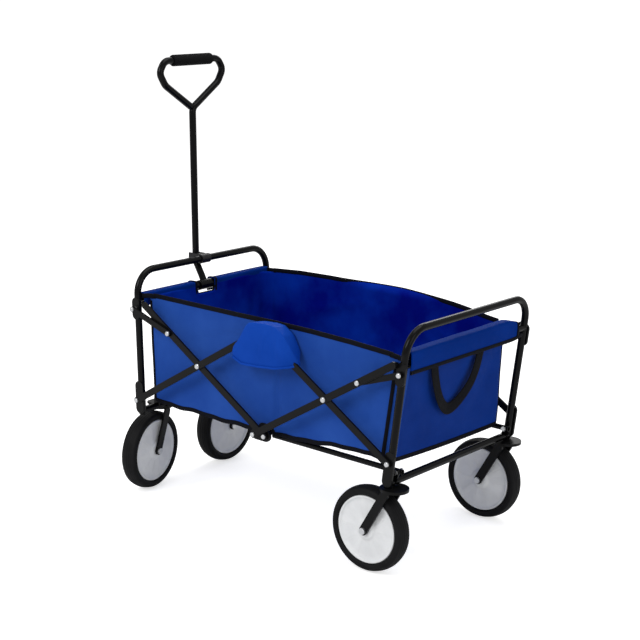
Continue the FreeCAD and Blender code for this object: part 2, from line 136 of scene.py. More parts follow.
def add_weave(material, scale):
    """three crossed wave textures, for a woven cloth"""
    vector = object_coords(material)
    waves = []
    for axis in "XZY":
        node = add_node(material, "TexWave", Scale=scale, Distortion=0.6, Detail=1.0)
        node.bands_direction = axis
        link(material, vector, node.inputs["Vector"])
        waves.append(node.outputs["Fac"])
    product = add_math(material, "MULTIPLY", waves[0], waves[1])
    return add_math(material, "ADD", product, waves[2])


def add_bump(material, height, strength, distance, normal=None):
    node = add_node(material, "Bump", Strength=strength, Distance=distance)
    link(material, height, node.inputs["Height"])
    if normal is not None:
        link(material, normal, node.inputs["Normal"])
    link(material, node.outputs["Normal"], shader_of(material).inputs["Normal"])
    return node.outputs["Normal"]


def add_grain(material, scale, strength, distance, detail=3, roughness=0.6):
    """fine bumps from noise"""
    height = add_noise(material, scale, detail, roughness)
    return add_bump(material, height, strength, distance)


def add_mottle(material, scale, dark, light, low=0.3, high=0.75, detail=3, roughness=0.5):
    """base colour that drifts between two tones"""
    factor = add_noise(material, scale, detail, roughness)
    node = add_node(material, "ValToRGB")
    for element, position, color in zip(node.color_ramp.elements, (low, high), (dark, light)):
        element.position = position
        element.color = (*color, 1)
    link(material, factor, node.inputs["Fac"])
    link(material, node.outputs["Color"], shader_of(material).inputs["Base Color"])


# ------------------------------------------------------------------ materials
def make_fabric(name, dark, light, specular, roughness=0.62, low=0.3, high=0.72, scale=9.0):
    material = new_material(name, light, roughness, specular=specular)
    add_mottle(material, scale, dark, light, low, high, detail=4, roughness=0.55)
    normal = add_grain(material, scale=60.0, strength=0.25, distance=0.0012)
    add_bump(material, add_weave(material, 260.0), strength=0.22, distance=0.0003, normal=normal)
    return material


def make_paint(name, color, roughness):
    material = new_material(name, color, roughness, specular=0.13)
    shader_of(material).inputs["Coat Roughness"].default_value = 0.22
    add_grain(material, scale=900.0, strength=0.10, distance=0.0003, detail=2, roughness=0.5)
    add_mottle(material, 14.0, dark=tuple(c * 0.85 for c in color),
               light=tuple(min(1, c * 1.25) for c in color))
    return material


def make_zinc():
    material = new_material("zinc_bolts", (0.62, 0.63, 0.64), 0.32, metallic=0.9)
    add_grain(material, scale=500.0, strength=0.08, distance=0.0003, detail=2, roughness=0.5)
    return material


def make_tyre():
    material = new_material("tyre_black", (0.006, 0.006, 0.007), 0.60, specular=0.12)
    add_mottle(material, 35.0, dark=(0.004, 0.004, 0.0045), light=(0.008, 0.008, 0.009),
               detail=4, roughness=0.6)
    add_grain(material, scale=420.0, strength=0.25, distance=0.0006)
    return material


def make_rim():
    material = new_material("rim_grey", (0.76, 0.77, 0.78), 0.42, specular=0.25)
    add_mottle(material, 30.0, dark=(0.72, 0.73, 0.745), light=(0.80, 0.81, 0.82), high=0.7)
    return material


def make_foam():
    material = new_material("grip_foam", (0.005, 0.005, 0.0055), 0.88, specular=0.1)
    add_grain(material, scale=700.0, strength=0.5, distance=0.0012, roughness=0.7)
    return material


def make_tape(name, color, roughness, weave_scale, strength, distance):
    material = new_material(name, color, roughness, specular=0.08)
    add_bump(material, add_weave(material, weave_scale), strength, distance)
    return material


FABRIC = make_fabric("fabric_blue", dark=(0.010, 0.052, 0.285), light=(0.018, 0.074, 0.35),
                     specular=0.05)
# inner faces of the bag: the cloth made darker, painted shade for the inside where the walls
# keep out the light
INSIDE_PAINTED_SHADE = make_fabric("fabric_blue_inside_painted_shade", dark=(0.0, 0.003, 0.165), light=(0.0008, 0.024, 0.30),
                     specular=0.02, roughness=0.8, low=0.38, high=0.62, scale=6.0)
# flaps over the hubs: the side cloth bulging out, made darker and more saturated than the wall,
# painted shade
FLAP_PAINTED_SHADE = make_fabric("fabric_blue_flap_painted_shade", dark=(0.003, 0.042, 0.31), light=(0.006, 0.056, 0.385),
                   specular=0.03)
# hem rolls over the crossbars: a darker copy of the side cloth, painted shade as on the rear end
ROLL_PAINTED_SHADE = make_fabric("fabric_blue_rear", dark=(0.0, 0.019, 0.165), light=(0.0008, 0.028, 0.23),
                   specular=0.02)
# end walls and right-hand corners: a darker copy of the side cloth, painted shade on the faces
# turned from the light
ENDS_PAINTED_SHADE = make_fabric("fabric_blue_ends_painted_shade", dark=(0.002, 0.024, 0.185), light=(0.005, 0.036, 0.25),
                    specular=0.03)
FRAME_PAINT = make_paint("frame_black", (0.0022, 0.0022, 0.0025), roughness=0.20)
BRACKET_PAINT = make_paint("bracket_black", (0.004, 0.004, 0.0043), roughness=0.28)
FORK_PAINT = make_paint("fork_black", (0.003, 0.003, 0.0033), roughness=0.34)
ZINC = make_zinc()
TYRE = make_tyre()
RIM = make_rim()
CLIP = new_material("clip_plastic", (0.008, 0.008, 0.009), 0.38, specular=0.3)
FOAM = make_foam()
BINDING = make_tape("binding_black", (0.0025, 0.0028, 0.006), roughness=0.7,
                    weave_scale=420.0, strength=0.35, distance=0.0003)
WEBBING = make_tape("webbing_black", (0.0025, 0.0028, 0.005), roughness=0.66,
                    weave_scale=300.0, strength=0.5, distance=0.0005)


# ------------------------------------------------------------------ CAD parts kept
def finish_part(name, material, split_angle=32, bevel=0.0):
    part = NODES[name]
    part.data.materials.clear()
    part.data.materials.append(material)
    for face in part.data.polygons:
        face.material_index = 0
        face.use_smooth = True
    if bevel:
        soft = part.modifiers.new("soft", "BEVEL")
        soft.width = bevel
        soft.segments = 2
        soft.limit_method = "ANGLE"
        soft.angle_limit = math.radians(35)
        soft.harden_normals = True
        soft.use_clamp_overlap = True
    else:
        part.modifiers.new("edges", "EDGE_SPLIT").split_angle = math.radians(split_angle)


TUBES = ("front_u_frame", "rear_u_frame", "front_upper_crossbar", "rear_upper_crossbar",
         "front_lower_crossbar", "rear_lower_crossbar", "centre_crossbar",
         "front_floor_bars", "rear_floor_bars", "pull_handle")
BRACKETS = ("lower_hub_plates", "upper_hub_plates", "front_lower_brackets",
            "rear_lower_brackets", "front_upper_brackets", "rear_upper_brackets",
            "caster_mount_plates", "front_links", "rear_links")


def finish_frame():
    for name in TUBES:
        finish_part(name, FRAME_PAINT)
    for name in BRACKETS:
        finish_part(name, BRACKET_PAINT)
    for letter in "abcd":
        for side in ("left", "right"):
            finish_part("arm_%s_%s" % (letter, side), BRACKET_PAINT, bevel=0.0016)
    for name in NODES:
        if name.endswith(("bolts", "pins")) or "axle" in name:
            finish_part(name, ZINC)
    for name in NODES:
        if "fork" in name:
            finish_part(name, FORK_PAINT)
    finish_part("handle_clip", CLIP)


finish_frame()


# ------------------------------------------------------------------ mesh helpers
def add_mesh(name, verts, faces, materials, face_materials=None):
    mesh = bpy.data.meshes.new(name)
    mesh.from_pydata([tuple(v) for v in verts], [], faces)
    mesh.update()
    for material in materials:
        mesh.materials.append(material)
    for i, face in enumerate(mesh.polygons):
        face.use_smooth = True
        if face_materials is not None:
            face.material_index = face_materials[i]
    obj = bpy.data.objects.new(name, mesh)
    bpy.context.scene.collection.objects.link(obj)
    return obj


def grid_faces(rows, columns, wrap_rows=False, wrap_columns=False, reverse=False):
    faces = []
    for i in range(rows if wrap_rows else rows - 1):
        for j in range(columns if wrap_columns else columns - 1):
            here, ahead = i * columns, (i + 1) % rows * columns
            beside = (j + 1) % columns
            face = (here + j, ahead + j, ahead + beside, here + beside)
            faces.append(face[::-1] if reverse else face)
    return faces


def thicken(obj, thickness, offset=-1.0, material_offset=0):
    """give a sheet its thickness, applied to the mesh"""
    solid = obj.modifiers.new("thick", "SOLIDIFY")
    solid.material_offset = material_offset
    solid.thickness = thickness
    solid.offset = offset
    bpy.context.view_layer.update()
    graph = bpy.context.evaluated_depsgraph_get()
    mesh = bpy.data.meshes.new_from_object(obj.evaluated_get(graph), depsgraph=graph)
    sheet = obj.data
    obj.modifiers.clear()
    obj.data = mesh
    bpy.data.meshes.remove(sheet)


def resample(points, step=None, count=None):
    """evenly spaced points along a line, by step or by count"""
    points = np.array(points, float)
    lengths = np.linalg.norm(np.diff(points, axis=0), axis=1)
    run = np.concatenate([[0], np.cumsum(lengths)])
    if count is None:
        count = max(3, int(run[-1] / step) + 1)
    stops = np.linspace(0, run[-1], count)
    return np.stack([np.interp(stops, run, points[:, k]) for k in range(3)], 1)


def cut_corners(points, rounds=3):
    """Chaikin smoothing with the ends held"""
    points = np.array(points, float)
    for _ in range(rounds):
        out = [points[0]]
        for a, b in zip(points[:-1], points[1:]):
            out += [a * 0.75 + b * 0.25, a * 0.25 + b * 0.75]
        out.append(points[-1])
        points = np.array(out)
    return points


def unit_rows(vectors):
    return vectors / (np.linalg.norm(vectors, axis=1)[:, None] + 1e-12)


def strip(name, points, normal, width, thick, material=BINDING, closed=False):
    """a soft-edged tape along points; normal: one vector or one per point"""
    points = np.array(points, float)
    count = len(points)
    normal = np.array(normal, float)
    if normal.ndim == 1:
        normal = np.tile(normal, (count, 1))
    if closed:
        tangent = unit_rows(np.roll(points, -1, 0) - np.roll(points, 1, 0))
    else:
        tangent = unit_rows(np.gradient(points, axis=0))
    normal = unit_rows(normal - np.sum(normal * tangent, 1)[:, None] * tangent)
    across = np.cross(tangent, normal)
    section = []
    for angle in np.linspace(0, 2 * math.pi, 12, endpoint=False):
        c, s = math.cos(angle), math.sin(angle)
        section.append((math.copysign(abs(c) ** 0.45, c) * width / 2,
                        math.copysign(abs(s) ** 0.75, s) * thick / 2))
    size = len(section)
    verts = [points[i] + across[i] * u + normal[i] * w
             for i in range(count) for u, w in section]
    faces = grid_faces(count, size, wrap_rows=closed, wrap_columns=True, reverse=True)
    if not closed:
        faces.append(tuple(range(size)))
        faces.append(tuple((count - 1) * size + j for j in range(size))[::-1])
    return add_mesh(name, verts, faces, [material])


def join(name, objects):
    """merge untransformed objects into one new object"""
    verts, faces, materials, face_materials = [], [], [], []
    for obj in objects:
        base = len(verts)
        mesh = obj.data
        verts += [tuple(v.co) for v in mesh.vertices]
        slots = []
        for material in mesh.materials:
            if material not in materials:
                materials.append(material)
            slots.append(materials.index(material))
        for face in mesh.polygons:
            faces.append([base + v for v in face.vertices])
            face_materials.append(slots[face.material_index])
        bpy.data.objects.remove(obj)
        bpy.data.meshes.remove(mesh)
    return add_mesh(name, verts, faces, materials, face_materials)


# ------------------------------------------------------------------ shape of the bag
SIDE_POINTS, END_POINTS, CORNER_STEPS = 150, 84, 9       # stations round the bag
WALL_ROWS = 46                                           # vertices from foot to hem

# x of the end walls: (z, x)
FRONT_WALL = [(0.22, -0.361), (0.236, -0.3605), (FRONT_BAR_Z, FRONT_BAR_X + WALL_INSET),
              (0.47, FRONT_BAR_X + WALL_INSET)]
REAR_WALL = [(0.22, 0.316), (0.236, 0.3155), (REAR_BAR_Z, REAR_BAR_X - WALL_INSET),
             (0.47, REAR_BAR_X - WALL_INSET)]

# height of the top and bottom edges of the side walls: (x, z)
HEM_LEFT = [(-0.38, 0.4670), (-0.33, 0.4710), (-0.10, 0.4715), (0.0, 0.4725),
            (0.10, 0.4720), (0.20, 0.4690), (0.30, 0.4635), (0.35, 0.4600)]
HEM_RIGHT = [(-0.38, 0.4650), (-0.32, 0.4700), (-0.26, 0.4750), (-0.17, 0.4780),
             (0.03, 0.4800), (0.12, 0.4775), (0.22, 0.4730), (0.35, 0.4620)]
FOOT_LEFT = [(-0.37, 0.2235), (-0.20, 0.2225), (-0.02, 0.2220), (0.07, 0.2260),
             (0.13, 0.2325), (0.205, 0.2380), (0.28, 0.2430), (0.315, 0.2340)]
FOOT_RIGHT = [(-0.37, 0.2240), (-0.02, 0.2225), (0.13, 0.2290), (0.28, 0.2330), (0.32, 0.2260)]

# soft folds: start, end, width, outward height; in (x, z) on the sides, (y, z) on the ends
SIDE_FOLDS = [((0.06, 0.40), (0.27, 0.262), 0.011, 0.0030),
              ((0.10, 0.425), (0.30, 0.33), 0.013, -0.0026),
              ((0.015, 0.385), (0.015, 0.236), 0.007, -0.0050),
              ((-0.02, 0.38), (-0.16, 0.262), 0.012, 0.0026),
              ((-0.05, 0.44), (-0.27, 0.37), 0.014, -0.0024),
              ((-0.30, 0.44), (-0.345, 0.27), 0.013, 0.0030),
              ((-0.19, 0.335), (-0.34, 0.255), 0.012, -0.0024),
              ((0.18, 0.335), (0.295, 0.27), 0.010, 0.0026),
              ((0.29, 0.44), (0.255, 0.30), 0.013, -0.0026),
              ((-0.13, 0.30), (0.0, 0.25), 0.012, 0.0020)]
END_FOLDS = [((-0.17, 0.42), (-0.09, 0.26), 0.015, 0.0028),
             ((0.15, 0.42), (0.08, 0.27), 0.016, -0.0024),
             ((-0.06, 0.30), (0.07, 0.26), 0.014, 0.0020)]

CORNER_START = {"left_rear": -90, "right_rear": 0, "right_front": 90, "left_front": 180}


def hem_z(x, side):
    return table_value(x, HEM_LEFT if side < 0 else HEM_RIGHT)


def foot_z(x, side):
    z = table_value(x, FOOT_LEFT if side < 0 else FOOT_RIGHT)
    z += 0.0012 * math.sin(x * 47 + side) + 0.0008 * math.sin(x * 93 + 2 * side)
    # the edge is lifted over the centre crossbar
    near = clamp01((0.026 - abs(x + 0.007)) / 0.014)
    return z + max(0.0, 0.2368 - z) * smoothstep(near)


def perimeter():
    """(part, 0..1 along it), counter-clockwise from above, from the front of the left side"""
    side = [i / (SIDE_POINTS - 1) for i in range(SIDE_POINTS)]
    end = [i / (END_POINTS - 1) for i in range(END_POINTS)]
    corner = [i / CORNER_STEPS for i in range(1, CORNER_STEPS)]
    parts = (("left", side), ("left_rear", corner), ("rear", end), ("right_rear", corner),
             ("right", side), ("right_front", corner), ("front", end), ("left_front", corner))
    return [(part, t) for part, steps in parts for t in steps]


def upright_station(part, t, z):
    """point and outward normal in plan, before the rear right corner leans in"""
    r = CORNER_R
    front, rear = table_value(z, FRONT_WALL), table_value(z, REAR_WALL)
    if part == "left":
        return (front + r + (rear - front - 2 * r) * t, -HALF_WIDTH), (0, -1)
    if part == "right":
        return (rear - r - (rear - front - 2 * r) * t, HALF_WIDTH), (0, 1)
    if part == "rear":
        return (rear, -HALF_WIDTH + r + 2 * (HALF_WIDTH - r) * t), (1, 0)
    if part == "front":
        return (front, HALF_WIDTH - r - 2 * (HALF_WIDTH - r) * t), (-1, 0)
    angle = math.radians(CORNER_START[part] + 90 * t)
    centre_x = rear - r if "rear" in part else front + r
    centre_y = -HALF_WIDTH + r if "left" in part else HALF_WIDTH - r
    c, s = math.cos(angle), math.sin(angle)
    return (centre_x + r * c, centre_y + r * s), (c, s)


def station(part, t, z):
    """point and outward normal in plan on the smooth wall"""
    (x, y), normal = upright_station(part, t, z)
    if part in ("rear", "right_rear", "right"):
        lean = 0.031 * clamp01((z - 0.238) / 0.20) ** 1.15
        y -= lean * smoothstep(clamp01((x - 0.14) / 0.18)) * clamp01((y + 0.10) / 0.29)
    return (x, y), normal


def crease(x, z, start, end, width, seed):
    """a soft fold along a line: 1 on the line, fading at its ends"""
    ux, uz = end[0] - start[0], end[1] - start[1]
    length = math.hypot(ux, uz)
    ux, uz = ux / length, uz / length
    dx, dz = x - start[0], z - start[1]
    t = (dx * ux + dz * uz) / length
    distance = -dx * uz + dz * ux + 0.004 * noise_at(t * 3.0, seed, 1.7)
    return max(0.0, 1 - abs(2 * t - 1) ** 2.5) * bell(distance, width)


def wrinkle(part, x, y, z, v):
    """offset along the outward normal; v is 0 at the foot and 1 at the hem"""
    middle = math.sin(math.pi * v)
    if part in ("left", "right"):
        side = -1 if part == "left" else 1
        d = -0.0045 * middle * max(0.0, 1 - abs((x + 0.02) / 0.34) ** 3)
        for k, (start, end, width, height) in enumerate(SIDE_FOLDS):
            d += height * crease(x, z, start, end, width, 3.0 * k + side)
        d += 0.0026 * noise_at(x * 9, z * 9, 3.0 + side) * middle
        d += 0.0007 * noise_at(x * 30 + z * 18, z * 26, 7.0 + side) * middle
    else:
        side = 1 if "rear" in part else -1
        d = -0.0035 * middle * max(0, 1 - (abs(y) / 0.2) ** 3)
        for k, (start, end, width, height) in enumerate(END_FOLDS):
            d += height * crease(y * side, z, start, end, width, 5.0 * k + side)
        d += 0.0020 * noise_at(y * 10, z * 10, 13.0 + side) * middle
    return d


def edge_heights(part, t):
    """z of the foot and the hem at a station"""
    (x, y), _ = station(part, t, MID_Z)
    if part in ("left", "right"):
        side = -1 if part == "left" else 1
        return foot_z(x, side), hem_z(x, side)
    # blend the two sides' heights across an end
    f = (y + HALF_WIDTH) / (2 * HALF_WIDTH)
    hem = hem_z(x, -1) * (1 - f) + hem_z(x, 1) * f
    foot = foot_z(x, -1) * (1 - f) + foot_z(x, 1) * f
    if "rear" in part:
        return foot - 0.004 * math.sin(math.pi * clamp01(f)), min(hem, REAR_BAR_Z + 0.004)
    hem = min(hem, FRONT_BAR_Z + 0.004)
    if part == "front":
        # the front edge dips under the handle
        dip = max(0.0, 1 - abs((y - NOTCH_Y) / 0.034) ** 4)
        hem -= 0.020 * min(1.0, dip * 1.6)
    return foot, hem


def wall_point(part, t, z, v):
    (x, y), (nx, ny) = station(part, t, z)
    d = wrinkle(part, x, y, z, v)
    if part == "right":
        # the right hem leans out over the upper hub
        near = max(0.0, 1 - ((x - 0.01) / 0.16) ** 2) ** 2
        y += 0.013 * near * clamp01((z - 0.4695) / 0.009)
    return x + nx * d, y + ny * d, z


# ------------------------------------------------------------------ bag walls
STATIONS = perimeter()
PARTS = np.array([part for part, _ in STATIONS])


def build_walls():
    """returns the wall points as an array of station, row, xyz"""
    verts = []
    for part, t in STATIONS:
        foot, hem = edge_heights(part, t)
        for j in range(WALL_ROWS):
            v = j / (WALL_ROWS - 1)
            verts.append(wall_point(part, t, foot + (hem - foot) * v, v))
    faces = grid_faces(len(STATIONS), WALL_ROWS, wrap_rows=True)
    # the end walls and right-hand corners get the darker cloth, painted shade
    painted_shade_parts = ("rear", "right_rear", "front", "right_front")
    face_materials = [2 if PARTS[i // (WALL_ROWS - 1)] in painted_shade_parts else 0
                      for i in range(len(faces))]
    # each outer material is followed by the one for its inner face, a darker copy of the cloth
    # with painted shade for the inside of the bag
    bag = add_mesh("bag_walls", verts, faces, [FABRIC, INSIDE_PAINTED_SHADE, ENDS_PAINTED_SHADE, INSIDE_PAINTED_SHADE], face_materials)
    thicken(bag, 0.0016, material_offset=1)
    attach(bag, "chassis")
    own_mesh(bag)
    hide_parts("fabric_basket")
    return np.array(verts).reshape(len(STATIONS), WALL_ROWS, 3)


WALLS = build_walls()
TOP_EDGE, FOOT_EDGE = WALLS[:, -1, :], WALLS[:, 0, :]

# ------------------------------------------------------------------ bag bindings
HEM_TAPE = dict(width=0.0105, thick=0.0046)
TAPE_DROP = 0.0035               # tape centre line from the cloth's edge
TAPE_SINK = 0.0008               # tape centre line inside the wall face


def hem_tape(part, side):
    points = TOP_EDGE[PARTS == part] + np.array([0, 0, -TAPE_DROP])
    normal = np.array([0, side, 0])
    return strip("tape", resample(points, 0.006) - normal * TAPE_SINK, normal, **HEM_TAPE)


def hem_tail(x, side, inset, mid, end):
    """tape running on from the end of a side hem to a post; mid, end: (x, |y|, drop)"""
    z = hem_z(x, side) - TAPE_DROP
    points = [(x + inset, side * 0.2030, z)]
    points += [(px, side * py, z - drop) for px, py, drop in (mid, end)]
    return strip("tape", resample(points, 0.004), (0, side, 0), **HEM_TAPE)


def foot_tape():
    points = FOOT_EDGE.copy()
    normals = np.array([(-1.0 if x < -0.33 else 1.0 if x > 0.30 else 0.0,
                         math.copysign(1.0, y) if abs(y) > 0.17 else 0.0,
                         0.0) for x, y, _ in points])
    points[:, 2] += TAPE_DROP
    return strip("tape", points - normals * TAPE_SINK, normals,
                 width=0.0100, thick=0.0044, closed=True)


def corner_tape(part, pick):
    i = np.where(PARTS == part)[0][pick]
    _, (nx, ny) = station(part, STATIONS[i][1], MID_Z)
    normal = np.array([nx, ny, 0.0])
    points = resample(WALLS[i, 1:-1, :], 0.006) + normal * 0.0006
    return strip("tape", points, normal, width=0.0080, thick=0.0036)


def build_bindings():
    tapes = [hem_tape("left", -1.0), hem_tape("right", 1.0)]
    left_hem, right_hem = TOP_EDGE[PARTS == "left"], TOP_EDGE[PARTS == "right"]
    front_tail = dict(inset=0.006, mid=(-0.3640, 0.2045, 0.0010), end=(-0.3790, 0.2090, 0.0030))
    tapes.append(hem_tail(left_hem[0][0], -1, **front_tail))
    tapes.append(hem_tail(left_hem[-1][0], -1, inset=-0.006,
                          mid=(0.3330, 0.2045, 0.0015), end=(0.3440, 0.2085, 0.0030)))
    tapes.append(hem_tail(right_hem[-1][0], 1, **front_tail))
    tapes.append(foot_tape())
    # which of a corner's stations carries its upright tape
    for part, pick in (("left_rear", 1), ("right_rear", 4), ("right_front", 4),
                       ("left_front", -2)):
        tapes.append(corner_tape(part, pick))
    bindings = join("bag_bindings", tapes)
    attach(bindings, "chassis")
    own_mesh(bindings)


build_bindings()

# ------------------------------------------------------------------ floor, two halves
BOARD_WIDTH = 0.395
QUILT_LINES = (0.25, 0.5, 0.75)  # fractions of the width


def board(name, x0, x1, body, seed):
    rows, columns = 70, 60
    verts = []
    for i in range(rows):
        for j in range(columns):
            u, w = i / (rows - 1), j / (columns - 1)
            x = x0 + (x1 - x0) * u
            y = -BOARD_WIDTH / 2 + BOARD_WIDTH * w
            edge = min(1, min(u, 1 - u) * 16) * min(1, min(w, 1 - w) * 18)
            z = 0.2408 + 0.0016 * edge ** 0.5 + 0.0007 * noise_at(x * 18, y * 18, seed)
            for q in QUILT_LINES:
                z -= 0.0010 * bell((w - q) * BOARD_WIDTH, 0.0035)
            verts.append((x, y, z))
    mat = add_mesh(name, verts, grid_faces(rows, columns), [FABRIC])
    thicken(mat, 0.0036)
    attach(mat, body)
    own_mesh(mat)


board("floor_front_half", -0.3535, -0.0025, "front_floor_bar_pair", seed=21.0)
board("floor_rear_half", 0.0025, 0.3085, "rear_floor_bar_pair", seed=27.0)

# ------------------------------------------------------------------ hem rolls on the crossbars
ROLL_POINTS = 44                 # vertices round a roll's section


def round_corners(points, radius=0.0055, steps=5):
    """2-D polyline with rounded corners"""
    out = [points[0]]
    for before, corner, after in zip(points, points[1:], points[2:]):
        corner = np.array(corner)
        ends = []
        for neighbour in (before, after):
            arm = np.array(neighbour) - corner
            ends.append((arm, np.linalg.norm(arm)))
        reach = min(radius, *(length * 0.45 for _, length in ends))
        start, end = (corner + arm / length * reach for arm, length in ends)
        for k in range(steps + 1):
            t = k / steps
            out.append(tuple((1 - t) ** 2 * start + 2 * t * (1 - t) * corner + t * t * end))
    out.append(points[-1])
    return out


def rear_section(y):
    """(x, z) from the inner edge over the crossbar to the outer edge; it tapers at the right"""
    full = 1.0 if y < 0.132 else max(0.0, 1 - ((y - 0.132) / 0.046) ** 2) ** 0.5
    top = 0.4600 + 0.0148 * full + 0.0016 * (y + 0.2) / 0.4 * full
    low = 0.4345 - 0.0035 * full
    return [(REAR_BAR_X - 0.0135, 0.432), (REAR_BAR_X - 0.0150, top - 0.0015),
            (REAR_BAR_X + 0.0118, top), (REAR_BAR_X + 0.0128, low + 0.02),
            (REAR_BAR_X + 0.0110, low)]


def front_section(_):
    """(x, z) from the inner edge over the crossbar to the outer edge"""
    return [(FRONT_BAR_X + 0.0128, 0.440), (FRONT_BAR_X + 0.0128, FRONT_BAR_Z + 0.0135),
            (FRONT_BAR_X - 0.0118, FRONT_BAR_Z + 0.0115), (FRONT_BAR_X - 0.0126, FRONT_BAR_Z),
            (FRONT_BAR_X - 0.0110, 0.4385)]


def roll(name, sign, y0, y1, section, body, bound_row):
    """cloth over an upper crossbar; sign: +1 rear, -1 front; bound_row: row with an end tape"""
    rows = int((y1 - y0) / 0.004) + 2
    verts = []
    for i in range(rows):
        y = y0 + (y1 - y0) * i / (rows - 1)
        line = resample([(x, y, z) for x, z in round_corners(section(y))], 0.0005)
        line = resample(line, count=ROLL_POINTS)
        for (x, _, z), t in zip(line, np.linspace(0, 1, ROLL_POINTS)):
            soft = math.sin(math.pi * t)
            x += sign * 0.0007 * noise_at(y * 16, t * 3, 2.0 + sign) * soft
            z += 0.0007 * noise_at(y * 14, t * 2, 6.0 + sign) * soft
            verts.append((x, y, z))
    # the roll cloth is the darker copy, painted shade
    cloth = add_mesh(name, verts, grid_faces(rows, ROLL_POINTS, reverse=sign > 0), [ROLL_PAINTED_SHADE])
    thicken(cloth, 0.0015)
    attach(cloth, body)

    grid = np.array(verts).reshape(rows, ROLL_POINTS, 3)
    low_edge = resample(grid[:, -1, :], 0.005) + np.array([0, 0, 0.0015])
    tapes = [strip("tape", low_edge, (sign, 0, 0), width=0.0085, thick=0.0042)]
    row = grid[bound_row]
    normals = row - row.mean(axis=0)
    normals[:, 1] = 0
    normals /= np.linalg.norm(normals, axis=1)[:, None] + 1e-9
    tapes.append(strip("tape", row + normals * 0.0003, normals, width=0.0060, thick=0.0034))
    if sign > 0:
        # the tape runs on to the right rear post
        x, y, z = grid[-1, -1]
        tail = [(x, y - 0.004, z + 0.001), (x - 0.002, y + 0.014, z + 0.0015),
                (0.3560, 0.2055, 0.4335)]
        tapes.append(strip("tape", resample(tail, 0.004), (1, 0, 0),
                           width=0.0085, thick=0.0040))
    binding = join(name + "_binding", tapes)
    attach(binding, body)


roll("rear_hem_roll", 1, -0.2078, 0.1775, rear_section, "rear_frame", bound_row=-2)
roll("front_hem_roll_left", -1, -0.2075, -0.0380, front_section, "front_frame", bound_row=-2)
roll("front_hem_roll_right", -1, 0.0200, 0.2075, front_section, "front_frame", bound_row=1)


def build_notch_binding():
    """tape on the front edge under the handle"""
    in_notch = (PARTS == "front") & (np.abs(TOP_EDGE[:, 1] - NOTCH_Y) < 0.036)
    points = resample(TOP_EDGE[in_notch], 0.004) + np.array([-0.0006, 0, -0.003])
    binding = strip("notch_binding", points, (-1, 0, 0), **HEM_TAPE)
    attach(binding, "chassis")
    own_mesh(binding)


build_notch_binding()

# ------------------------------------------------------------------ flaps over the hubs
# upper outer edge: (x, z, distance from the centre plane)
FLAP_TOP = [(-0.0728, 0.4080, 0.2425), (-0.0540, 0.4340, 0.2425), (-0.0420, 0.4560, 0.2425),
            (-0.0320, 0.4685, 0.2425), (-0.0220, 0.4712, 0.2425), (-0.0037, 0.4725, 0.2425),
            (0.0181, 0.4738, 0.2425), (0.0380, 0.4725, 0.2420), (0.0627, 0.4576, 0.2400),
            (0.0790, 0.4297, 0.2330), (0.0930, 0.3990, 0.2200)]
# lower edge: (x, z)
FLAP_LOW = [(-0.0728, 0.3872), (-0.0481, 0.3767), (-0.0018, 0.3794), (0.0423, 0.3833),
            (0.0853, 0.3934), (0.0930, 0.3975)]
FLAP_INNER_Y = 0.2050            # where the flap leaves the hem
FLAP_ROWS, REACH_POINTS, FACE_POINTS = 70, 14, 26


def soft_profile(xs, table_x, table_values):
    values = np.interp(xs, table_x, table_values)
    kernel = np.array([1, 2, 3, 2, 1]) / 9.0
    values[2:-2] = np.convolve(values, kernel, "valid")
    return values


def flap(name, side):
    top_x, top_z, top_y = zip(*FLAP_TOP)
    xs = np.linspace(top_x[0], top_x[-1], FLAP_ROWS)
    tops = soft_profile(xs, top_x, top_z)
    outers = soft_profile(xs, top_x, top_y)
    lows = soft_profile(xs, *zip(*FLAP_LOW))
    if side > 0:
        tops = np.minimum(tops, 0.4715)
    verts = []
    for x, top, outer, low in zip(xs, tops, outers, lows):
        # the strip of cloth from the hem out over the arms
        reach = clamp01((x + 0.062) / 0.05) * clamp01((0.094 - x) / 0.012)
        inner = outer + (FLAP_INNER_Y - outer) * reach
        inner_z = top - 0.0028 * reach
        for j in range(REACH_POINTS):
            q = j / REACH_POINTS
            sag = 0.0016 * math.sin(math.pi * q) * reach
            z = inner_z + (top - inner_z) * q ** 0.8 + (0.0008 - sag) * 0.5
            verts.append((x, side * (inner + (outer - inner) * q), z))
        # the hanging face
        for j in range(FACE_POINTS):
            q = j / (FACE_POINTS - 1)
            z = top + (low - top) * q
            puff = 0.0022 * math.sin(math.pi * min(1, q * 1.1))
            puff += 0.0014 * noise_at(x * 16, z * 16, 2.0 + side) * q
            fold = 0.0016 * crease(x, z, (0.0228, 0.470), (-0.005, 0.385), 0.006, 1.0)
            fold -= 0.0016 * crease(x, z, (0.030, 0.472), (0.045, 0.392), 0.007, 2.0)
            verts.append((x, side * (outer + puff + fold), z))
    columns = REACH_POINTS + FACE_POINTS
    # the flap cloth and its edge are the darker copy, painted shade
    cloth = add_mesh(name, verts, grid_faces(FLAP_ROWS, columns, reverse=side > 0), [FLAP_PAINTED_SHADE])
    thicken(cloth, 0.0014, offset=1.0)
    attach(cloth, "top_joints")

    low_edge = resample(np.array(verts).reshape(FLAP_ROWS, columns, 3)[:, -1, :], 0.004)
    edge = join(name + "_edge", [strip("tape", low_edge + np.array([0, side * 0.0012, 0.0012]),
                                       (0, side, 0), width=0.0050, thick=0.0028,
                                       material=FLAP_PAINTED_SHADE)])
    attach(edge, "top_joints")
    return cloth


left_flap = flap("left_joint_flap", -1)
flap("right_joint_flap", 1)
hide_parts("top_joint_flaps")

# ------------------------------------------------------------------ webbing loop on the rear
# (y, z) down one side of the loop and up the other
WEBBING_LINE = [(-0.098, 0.434), (-0.0965, 0.405), (-0.083, 0.367), (-0.060, 0.336),
                (-0.032, 0.3125), (-0.010, 0.3130), (0.012, 0.326), (0.039, 0.354),
                (0.056, 0.390), (0.067, 0.424)]


